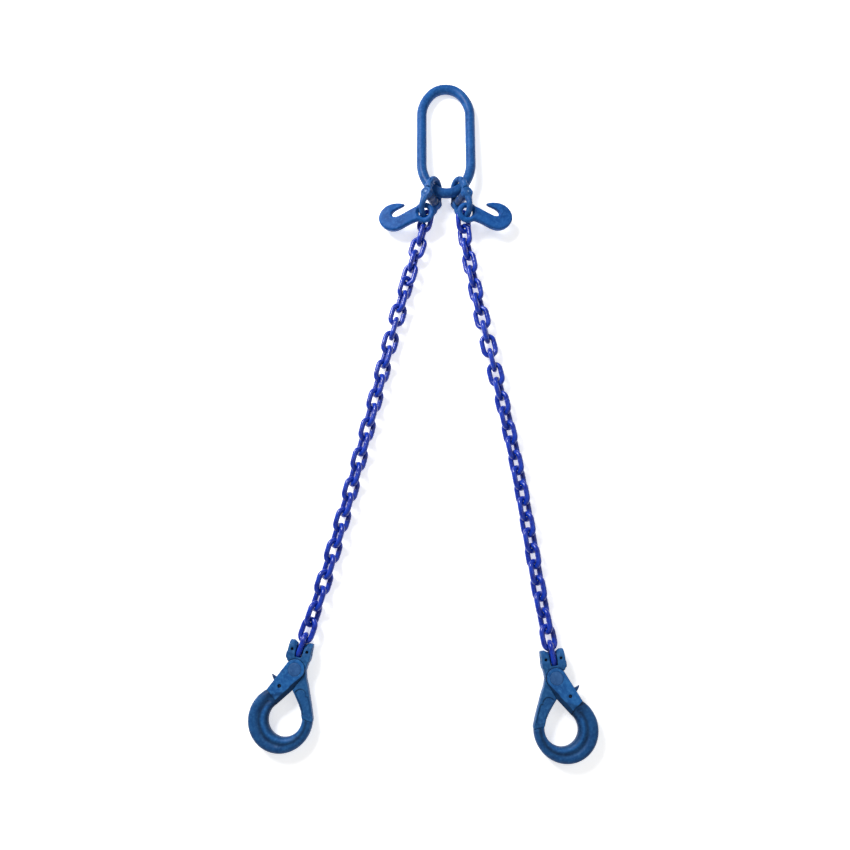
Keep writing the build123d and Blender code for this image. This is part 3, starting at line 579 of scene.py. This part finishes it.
# ---------------------------------------------------------------- connecting link
def coupling_field(X, Y, Z, lobe=True):
    s0 = 13.2
    q = np.where(Y > s0, np.sqrt(X * X + np.maximum(Y - s0, 0) ** 2) - 19.0, np.abs(X) - 19.0)
    r = 4.75
    bow = np.sqrt(q * q + Z * Z) - r
    bow = np.maximum(bow, 9.5 - Y)
    d = bow
    if lobe:
        # the upper half is forged with full shoulders inside the bow
        th = np.degrees(np.arctan2(np.abs(X), np.maximum(Y - s0, -30.0)))
        swell = np.clip((th - 34) / 16, 0, 1) * np.clip((106 - th) / 16, 0, 1)
        qi = q + 3.6 * swell
        lobe_d = np.sqrt(np.maximum(np.abs(qi) - 2.2 * swell, 0) ** 2 + Z * Z * 1.15) - (2.0 + 1.9 * swell)
        d = smin(d, np.maximum(lobe_d, 9.5 - Y), 2.0)
    ryz = np.sqrt(Y * Y + Z * Z)
    for x0, x1 in ((19.1, 23.2), (-18.9, -12.5)):
        xc, hx = (x0 + x1) / 2, (x1 - x0) / 2
        a = ryz - 8.2 + 1.3
        b = np.abs(X - xc) - hx + 1.3
        lug = np.minimum(np.maximum(a, b), 0) + np.sqrt(np.maximum(a, 0) ** 2 + np.maximum(b, 0) ** 2) - 1.3
        # web from the lug up into the arm
        wx = np.abs(X - (xc + (19.0 - xc if x0 > 0 else -19.0 - xc) * np.clip((Y - 4) / 8, 0, 1))) - hx
        wz = np.abs(Z) - (7.8 - 3.2 * np.clip((Y - 2) / 11, 0, 1))
        wy = np.abs(Y - 7) - 7
        web = np.maximum(np.maximum(wx, wz), wy) + 0.0
        d = smin(d, smin(lug, web + 0.3, 2.0), 2.6)
    # the other half's lugs turn here
    for x0, x1 in ((-30.0, -18.98), (8.0, 19.02)):
        cut = np.maximum(np.maximum(ryz - 8.5, x0 - X), X - x1)
        d = smax(d, -cut, 0.5)
    d = smax(d, -(np.maximum(ryz - 11.5, np.maximum(-12.4 - X, X - 12.4))), 0.4)
    d = smax(d, -(ryz - 5.06), 0.5)
    # small forging dimples on the shoulder of the bow
    for phi in (-28.0, -62.0):
        c = (19.0 * math.sin(math.radians(phi)), s0 + 19.0 * math.cos(math.radians(phi)))
        for sz in (1, -1):
            u = np.array([-0.84, 0.10, 0.53 * sz]); u /= np.linalg.norm(u)
            k = 4.9
            dd = np.sqrt((X - c[0] - k * u[0]) ** 2 + (Y - c[1] - k * u[1]) ** 2 + (Z - k * u[2]) ** 2) - 1.9
            d = smax(d, -dd, 0.6)
    return d


me_half = make_mesh("coupling_half_mesh", *skin(lambda x, y, z: coupling_field(x, y, z, False), (-26, -10, -10), (26, 39, 10), 0.45))
me_half_up = make_mesh("coupling_upper_half_mesh", *skin(coupling_field, (-26, -10, -10), (26, 39, 10), 0.45))
me_cpin = turned("coupling_pin_mesh", [(-23.0, 1.7), (-23.4, 2.1), (-23.4, 4.2), (-22.6, 5.0), (22.6, 5.0), (23.4, 4.2), (23.4, 2.1), (23.0, 1.7)], 40)
me_cpin.materials.append(M_COUP)
me_cpin.materials.append(M_PIN_HIGHLIGHT)
# the flat end faces take the painted highlight
me_cpin.polygons.foreach_set("material_index", [1 if len(p.vertices) > 4 else 0 for p in me_cpin.polygons])
me_sleeve = make_mesh("coupling_sleeve_mesh", *lathe([(-12.2, 5.15), (-12.2, 6.6), (-11.6, 7.2), (-3.0, 7.2), (-2.6, 6.95), (2.6, 6.95), (3.0, 7.2), (11.6, 7.2), (12.2, 6.6), (12.2, 5.15)], 48)[:2])
for side in ("left", "right"):
    fu, fl = FRAMES[side + "_coupling_upper"], FRAMES[side + "_coupling_lower"]
    place(side + "_coupling_half_upper", me_half_up, fu, side + "_coupling_top", [side + "_coupling_upper"], M_COUP)
    place(side + "_coupling_half_lower", me_half, fl, side + "_coupling_bottom", [side + "_coupling_lower"], M_COUP)
    place(side + "_coupling_load_pin", me_cpin, fu, side + "_coupling_top", [side + "_coupling_pin"], M_PIN_HIGHLIGHT)
    place(side + "_coupling_pin_sleeve", me_sleeve, fu, side + "_coupling_top", [side + "_coupling_sleeve"], M_SLEEVE)

# ---------------------------------------------------------------- grab hook
GRAB = [(21.6, 27.4), (19.8, 28.6), (20.6, 31.2), (26.5, 36.2), (34.5, 40.5), (44.0, 42.9), (54.0, 41.8), (62.3, 37.6), (67.9, 31.3), (70.0, 23.0),
        (68.1, 13.5), (63.0, 5.2), (55.5, -0.5), (46.0, -2.9), (36.0, -3.2), (26.0, -3.7), (14.0, -6.3), (6.0, -8.0), (2.0, 0.0), (6.0, 15.0), (12.0, 15.9),
        (20.0, 16.2), (32.0, 16.8), (39.0, 17.4), (44.0, 19.2), (46.9, 22.9), (45.4, 26.9), (41.0, 28.9), (34.0, 28.9)]


def chaikin(pts, n=2, keep=()):
    p = [np.array(q, float) for q in pts]
    for _ in range(n):
        out = []
        for i in range(len(p)):
            a, b = p[i], p[(i + 1) % len(p)]
            out += [a * 0.75 + b * 0.25, a * 0.25 + b * 0.75]
        p = out
    return [tuple(q) for q in p]


GRAB_S = chaikin(GRAB, 2)


def grab_field(X, Y, Z):
    d2 = poly2(X, Y, GRAB_S)
    # the finger thins towards its point, the heel is full
    t = np.clip((46.0 - X) / 26.0, 0, 1) * np.clip((Y - 24.0) / 6.0, 0, 1)
    hz = 5.8 - 2.9 * t
    r = 3.4 - 1.2 * t
    a = d2 + r
    b = np.abs(Z) - hz + r
    plate = np.minimum(np.maximum(a, b), 0) + np.sqrt(np.maximum(a, 0) ** 2 + np.maximum(b, 0) ** 2) - r
    rho = np.sqrt(X * X + Y * Y)
    plate = smax(plate, -(rho - 12.4), 1.5)
    ring = np.sqrt((rho - 12.6) ** 2 + Z * Z) - 4.4
    d = smin(plate, ring, 3.0)
    # keep the eye and its bearing face true
    return smax(d, -(np.sqrt((rho - 3.4) ** 2 + Z * Z * 0.55) - 4.75), 0.8)


me_grab = make_mesh("grab_hook_mesh", *skin(grab_field, (-19, -19, -8), (72, 45, 8), 0.55))
for side in ("left", "right"):
    place(side + "_grab_hook_forging", me_grab, FRAMES[side + "_grab_hook"], side + "_shortener", [side + "_grab_hook"], M_GRAB)

# ---------------------------------------------------------------- self-locking hook
PIV = (0.0, -27.0)
FORK_R = 14.5
TRIG = (-15.4, -53.7)
BOUND_L, BOUND_R = (-31.9, -62.4), (-15.6, -74.3)
ELBOW, THROAT = (3.2, -56.3), (-14.3, -80.6)
TIP_OUT, TIP_IN = (42.8, -92.5), (26.6, -90.0)


def tangent(p, c, r, s):
    dx, dy = p[0] - c[0], p[1] - c[1]
    b = math.atan2(dy, dx) + s * math.acos(r / math.hypot(dx, dy))
    return (c[0] + r * math.cos(b), c[1] + r * math.sin(b))


def fork_outline(grow=0.0, r=FORK_R):
    left = tangent(BOUND_L, PIV, r, -1)
    right = tangent((ELBOW[0] + grow, ELBOW[1]), PIV, r, 1)
    a0 = math.degrees(math.atan2(right[1] - PIV[1], right[0] - PIV[0]))
    a1 = math.degrees(math.atan2(left[1] - PIV[1], left[0] - PIV[0]))
    if a1 < a0:
        a1 += 360
    return arc_pts(PIV, r, a0, a1, 40) + [BOUND_L, BOUND_R, (THROAT[0] + grow, THROAT[1]), (ELBOW[0] + grow, ELBOW[1])]


FORK = fork_outline()
FORK_CUT = fork_outline(0.6, FORK_R + 0.5)
RIGHT_T = tangent(ELBOW, PIV, FORK_R, 1)
BOWL = (arc3(BOUND_L, (-3.0, -144.7), TIP_OUT, 72) + [(44.1, -83.5), (28.0, -81.0)] + arc3(TIP_IN, (3.6, -120.8), THROAT, 56) + [ELBOW, (-6.0, -46.0), (-23.0, -46.0)])


def half_plane(X, Y, a, b):
    """Distance inwards from the line a to b, positive on its left."""
    dx, dy = b[0] - a[0], b[1] - a[1]
    L = math.hypot(dx, dy)
    return (dx * (Y - a[1]) - dy * (X - a[0])) / L


def jaw_field(X, Y, Z):
    b2 = poly2(X, Y, BOWL)
    bowl = thick(b2, Z, 9.6, 7.2)
    bowl = smax(bowl, np.where(X > 9.0, (X - 26.6) * 0.1525 + (Y + 90.0) * 0.9883, -30.0), 0.5)
    f2 = poly2(X, Y, FORK)
    fork = thick(f2, Z, 11.6, 0.9)
    # long bevel on the lower right edge of the plates
    e = np.minimum(-half_plane(X, Y, RIGHT_T, ELBOW), -half_plane(X, Y, ELBOW, THROAT))
    w = 6.2 * np.clip((-30.0 - Y) / 20.0, 0.08, 1)
    dp = 4.6 * np.clip((-30.0 - Y) / 20.0, 0.05, 1)
    L = np.sqrt(w * w + dp * dp)
    bev = ((np.abs(Z) - 11.6 + dp) * w - e * dp) / L
    fork = smax(fork, bev, 0.5)
    d = smin(bowl, fork, 0.7)
    # groove and bead round the bowl
    gx, gy = X - 0.5, Y + 97.0
    th = np.degrees(np.arctan2(gy, gx)) % 360
    fade = np.clip((138 - th) / 14, 0, 1) + np.clip((th - 268) / 42, 0, 1)
    q = np.sqrt(gx * gx + gy * gy) - 33.8
    grv = np.sqrt((q * 0.75) ** 2 + (np.abs(Z) - (11.1 + 3.4 * fade)) ** 2) - 3.4
    d = smax(d, -grv, 1.6)
    # slot between the plates
    s2 = poly2(X, Y, [(-40, -8), (20, -8), (20, -50), (4.5, -57.5), (-9.0, -62.0), (-24.5, -62.0), (-40, -50)])
    d = smax(d, -np.maximum(s2, np.abs(Z) - 5.7), 0.4)
    rp = np.sqrt((X - PIV[0]) ** 2 + (Y - PIV[1]) ** 2)
    d = smax(d, -(rp - 5.55), 0.3)
    d = smax(d, -np.maximum(rp - 9.45, 10.3 - np.abs(Z)), 0.25)
    rt = np.sqrt((X - TRIG[0]) ** 2 + (Y - TRIG[1]) ** 2)
    d = smax(d, -(rt - 2.6), 0.6)
    return d


ARM = [(8.0, -14.0), (15.7, -20.0), (16.0, -27.0), (19.0, -36.0), (24.0, -45.4), (29.3, -57.3), (34.6, -69.0), (39.0, -79.3),
       (42.4, -88.0), (43.2, -96.5), (26.6, -95.0), (26.3, -89.4), (23.0, -80.7), (17.0, -71.6), (9.3, -62.2), (3.9, -56.0), (-2.0, -38.0)]
NECK = [(-17.0, -6.0), (-16.6, -12.6), (-13.2, -18.2), (-11.4, -21.4), (-9.0, -25.5), (14.6, -27.5), (15.6, -21.0), (16.6, -12.0), (16.9, -4.0)]


def upper_field(X, Y, Z):
    ryz = np.sqrt(Y * Y + Z * Z)
    ex = np.abs(np.abs(X) - 11.15) - 6.05 + 2.4
    ey = np.abs(Y - 0.4) - 13.0 + 2.4
    ear2 = np.minimum(np.maximum(ex, ey), 0) + np.sqrt(np.maximum(ex, 0) ** 2 + np.maximum(ey, 0) ** 2) - 2.4
    prof = np.where(Y > 2.4, np.sqrt(np.maximum(Y - 2.4, 0) ** 2 + Z * Z), np.abs(Z)) - 11.0
    ears = smax(ear2, prof, 2.0)
    neck = smax(poly2(X, Y, NECK), np.abs(Z) - 10.8, 2.0)
    d = smin(ears, neck, 3.0)
    a2 = poly2(X, Y, ARM)
    arm = thick(a2, Z, 7.6, 1.7)
    arm = smax(arm, 0.35 - (X - 26.6) * 0.1525 - (Y + 90.0) * 0.9883, 0.35)
    # sunk panel with an arched top
    rx = np.sqrt((X - 16.2) ** 2 + (Y + 59.6) ** 2) - 8.4
    low = np.maximum(Y + 59.6, -84.0 - Y)
    pan = np.maximum(smin(rx, low, 0.5), a2 + 2.2)
    arm = smax(arm, -np.maximum(pan, 6.2 - np.abs(Z)), 0.5)
    d = smin(d, arm, 1.2)
    c2 = poly2(X, Y, FORK_CUT)
    cr = np.sqrt((X - PIV[0]) ** 2 + (Y - PIV[1]) ** 2)
    # the plates turn through here when the jaw opens
    cut = np.minimum(c2, cr - 15.0)
    for a in (12.0, 24.0, 36.0):
        ca, sa = math.cos(math.radians(a)), math.sin(math.radians(a))
        xr = PIV[0] + (X - PIV[0]) * ca - (Y - PIV[1]) * sa
        yr = PIV[1] + (X - PIV[0]) * sa + (Y - PIV[1]) * ca
        cut = np.minimum(cut, poly2(xr, yr, FORK_CUT))
    d = smax(d, -np.maximum(cut, 5.4 - np.abs(Z)), 0.4)
    slot = np.maximum(np.abs(X) - 5.1, np.minimum(-Y, ryz - 13.8))
    d = smax(d, -slot, 1.2)
    tor = np.sqrt((ryz - 24.2) ** 2 + X * X) - 15.3
    d = smax(d, -np.maximum(tor, -1.0 - Y), 0.8)
    tongue = np.maximum(np.abs(Z) - 5.4, cr - 13.0)
    web = np.maximum(np.maximum(np.abs(X) - 8.0, np.abs(Y + 19.5) - 6.0), np.abs(Z) - 5.4)
    d = np.minimum(d, np.minimum(tongue, np.maximum(web, 13.8 - ryz)))
    rel = poly2(X, Y, [(-40, -38.5), (-5.5, -38.5), (1.6, -56.0), (3.7, -56.4), (3.7, -70), (-40, -70)])
    d = smax(d, -rel, 0.3)
    d = smax(d, -(cr - 5.55), 0.3)
    d = smax(d, -(ryz - 5.06), 0.5)
    for s in (-1, 1):
        rr = np.sqrt((X - s * 11.0) ** 2 + Y * Y) - 2.1
        d = smax(d, -rr, 0.5)
    return d


TRIG_OUT = [(-9.6, -52.2), (-10.2, -47.2), (-12.4, -43.6), (-14.9, -41.3), (-17.3, -41.9), (-20.0, -45.6), (-25.0, -43.6), (-28.4, -42.6), (-31.9, -41.0),
            (-30.2, -44.2), (-27.4, -48.0), (-21.2, -54.0), (-19.2, -58.0), (-15.4, -59.3), (-11.2, -57.6)]


def trigger_field(X, Y, Z):
    t2 = np.minimum(poly2(X, Y, TRIG_OUT), np.sqrt((X - TRIG[0]) ** 2 + (Y - TRIG[1]) ** 2) - 5.5)
    d = thick(t2, Z + 2.2, 3.1, 0.6)
    return smax(d, -(np.sqrt((X - TRIG[0]) ** 2 + (Y - TRIG[1]) ** 2) - 2.55), 0.3)


me_jaw = make_mesh("hook_jaw_mesh", *skin(jaw_field, (-51, -147, -13), (45, -11, 13), 0.6))
me_upper = make_mesh("hook_upper_mesh", *skin(upper_field, (-19, -95, -12.5), (45, 17, 12.5), 0.55))


def jaw_light_and_shade(X, Y, Z):
    # painted light and shade on the jaw: lighter flat plate faces, painted shade on the bevel, on the bowl next to the
    # plates, in the groove and along the inner edge, painted highlight on the bead
    f2 = poly2(X, Y, FORK)
    az = np.abs(Z)
    flat = np.clip((az - 11.1) / 0.4, 0, 1) * np.clip(-f2 / 0.8, 0, 1)
    edge = np.minimum(-half_plane(X, Y, RIGHT_T, ELBOW), -half_plane(X, Y, ELBOW, THROAT))
    bevel = np.clip((7.0 - edge) / 1.5, 0, 1) * np.clip((f2 * -1.0 + 1.5) / 1.5, 0, 1) * np.clip((az - 5.5) / 1.0, 0, 1) * (1 - flat)
    beyond = -half_plane(X, Y, BOUND_R, BOUND_L)
    boundary_shade = np.clip(1 - np.abs(beyond) / 17.0, 0, 1) * (f2 > -0.4) * (Y < -58.0) * (X < 2.0)
    q = np.sqrt((X - 0.5) ** 2 + (Y + 97.0) ** 2)
    groove = np.exp(-((q - 33.8) / 2.4) ** 2) * (Y < -76)
    bead = np.exp(-((q - 28.6) / 2.2) ** 2) * (Y < -84)
    inner_shade = np.clip((26.5 - q) / 3.0, 0, 1) * (Y < -76)
    return 0.92 * (1 + 0.55 * flat) * (1 - 0.48 * bevel) * (1 - 0.5 * boundary_shade) * (1 - 0.55 * groove) * (1 + 0.4 * bead) * (1 - 0.35 * inner_shade)


def upper_light_and_shade(X, Y, Z):
    # painted shade along the edge of the sunk panel; lighter towards the head and on the panel floor
    a2 = poly2(X, Y, ARM)
    rx = np.sqrt((X - 16.2) ** 2 + (Y + 59.6) ** 2) - 8.4
    low = np.maximum(Y + 59.6, -84.0 - Y)
    pan = np.maximum(np.minimum(rx, low), a2 + 2.2)
    line = np.exp(-(pan / 0.55) ** 2) * (Y < -45) * (Y > -80)
    head = np.clip((Y + 30) / 8, 0, 1)
    return 1.0 + 0.10 * head - 0.42 * line + 0.10 * (pan < -0.6)


# painted light and shade stored on the hook forgings
paint_light_and_shade(me_jaw, jaw_light_and_shade)
paint_light_and_shade(me_upper, upper_light_and_shade)
me_trig = make_mesh("hook_trigger_mesh", *skin(trigger_field, (-32, -61, -7), (-8, -40, 3), 0.4))
me_rivet = turned("hook_rivet_mesh", [(-11.9, 8.2), (-11.8, 9.0), (-11.4, 9.35), (-10.45, 9.35), (-10.45, 5.5), (10.45, 5.5), (10.45, 9.35), (11.4, 9.35), (11.8, 9.0), (11.9, 8.2)], 64, "z")
me_tpin = turned("hook_trigger_pin_mesh", [(-9.5, 2.0), (-9.2, 2.5), (9.2, 2.5), (9.5, 2.0)], 32, "z")
me_lpin = turned("hook_load_pin_mesh", [(-16.3, 4.3), (-15.6, 5.0), (15.6, 5.0), (16.3, 4.3)], 40)
me_roll = make_mesh("hook_roll_pin_mesh", *lathe([(-8.6, 0.9), (-8.6, 1.25), (-8.4, 1.5), (8.4, 1.5), (8.6, 1.25), (8.6, 0.9)], 24, "z")[:2])


def spring_mesh():
    n = 3 * 36
    t = np.linspace(0, 3 * 2 * math.pi, n)
    c = np.stack([3.6 * np.cos(t), 3.6 * np.sin(t), 1.6 + 1.05 * t / (2 * math.pi)], 1)
    tn = np.gradient(c, axis=0); tn /= np.linalg.norm(tn, axis=1)[:, None]
    s = np.stack([np.cos(t), np.sin(t), 0 * t], 1)
    u = np.cross(tn, s)
    a = np.linspace(0, 2 * math.pi, 12, endpoint=False)
    P = (c[:, None] + 0.42 * (np.cos(a)[None, :, None] * s[:, None] + np.sin(a)[None, :, None] * u[:, None])).reshape(-1, 3)
    k = np.arange(12); k1 = (k + 1) % 12
    Q = np.concatenate([np.stack([i * 12 + k, i * 12 + k1, (i + 1) * 12 + k1, (i + 1) * 12 + k], 1) for i in range(n - 1)])
    caps = []
    P = np.vstack([P, c[:1], c[-1:]])
    m = len(P)
    caps.append(np.stack([k1, k, np.full(12, m - 2), np.full(12, m - 2)], 1))
    caps.append(np.stack([(n - 1) * 12 + k, (n - 1) * 12 + k1, np.full(12, m - 1), np.full(12, m - 1)], 1))
    tri = np.concatenate(caps)[:, :3]
    me = bpy.data.meshes.new("hook_spring_mesh")
    me.from_pydata((P * 0.001).tolist(), [], Q.tolist() + tri.tolist())
    for p in me.polygons:
        p.use_smooth = True
    return me


me_spring = spring_mesh()


def offset(fr, x, y):
    ox, oy, oz = fr[0] + x * fr[3] + y * fr[6], fr[1] + x * fr[4] + y * fr[7], fr[2] + x * fr[5] + y * fr[8]
    return (ox, oy, oz) + tuple(fr[3:])


for side in ("left", "right"):
    f = FRAMES[side + "_hook"]
    top, jaw, trg = side + "_hook_top", side + "_hook_jaw", side + "_trigger"
    place(side + "_hook_jaw_forging", me_jaw, f, jaw, [side + "_hook_body"], M_HOOK)
    place(side + "_hook_upper_forging", me_upper, f, top, [side + "_hook_upper_body"], M_PLATE)
    place(side + "_hook_rivet", me_rivet, offset(f, *PIV), jaw, [side + "_hook_pivot_rivet"], M_RIVET)
    place(side + "_hook_trigger_lever", me_trig, f, trg, [side + "_hook_trigger"], M_TRIG)
    place(side + "_hook_trigger_axle", me_tpin, offset(f, *TRIG), jaw, [side + "_hook_trigger_pin"], M_DARK)
    place(side + "_hook_coil", me_spring, offset(f, *TRIG), jaw, [side + "_hook_trigger_spring"], M_SPRING)
    place(side + "_hook_clevis_pin", me_lpin, f, top, [side + "_hook_load_pin"], M_DARK)
    for k, x in (("a", -11.0), ("b", 11.0)):
        place(side + "_hook_roll_pin_" + k, me_roll, offset(f, x, 0), top, [side + "_hook_retaining_pins"], M_DARK)

# ---------------------------------------------------------------- stage
bpy.ops.mesh.primitive_plane_add(size=12, location=(0, 0, -0.0006))
floor = bpy.context.object
floor.name = "floor"
mf = bpy.data.materials.new("floor_paper")
mf.use_nodes = True
fb = mf.node_tree.nodes["Principled BSDF"]
fb.inputs["Base Color"].default_value = (0.95, 0.95, 0.95, 1)
fb.inputs["Roughness"].default_value = 0.9
fb.inputs["Emission Color"].default_value = (1, 1, 1, 1)
fb.inputs["Emission Strength"].default_value = 0.55
floor.data.materials.append(mf)


def area(name, loc, size, power, target=(0, 0, 0), col=(1, 1, 1)):
    l = bpy.data.lights.new(name, "AREA")
    l.size = size
    l.energy = power
    l.color = col
    o = bpy.data.objects.new(name, l)
    bpy.context.scene.collection.objects.link(o)
    o.location = loc
    d = Vector(target) - Vector(loc)
    o.rotation_euler = d.to_track_quat("-Z", "Y").to_euler()
    return o


area("key", (-1.1, 1.2, 1.5), 0.8, 58)
area("fill", (1.3, 0.2, 1.8), 1.6, 7)
area("front", (0.0, -1.6, 1.3), 1.5, 3)

world = bpy.data.worlds.new("studio")
bpy.context.scene.world = world
world.use_nodes = True
bg = world.node_tree.nodes["Background"]
bg.inputs[0].default_value = (1, 1, 1, 1)
bg.inputs[1].default_value = 0.24
bpy.context.scene.view_settings.view_transform = "Standard"

cam = bpy.data.cameras.new("camera")
cam.lens = 33.54
cam.sensor_width = 36
co = bpy.data.objects.new("camera", cam)
bpy.context.scene.collection.objects.link(co)
co.location = (0.002817, -0.305673, 1.209039)
co.rotation_euler = (math.radians(12.0), 0, 0)
bpy.context.scene.camera = co
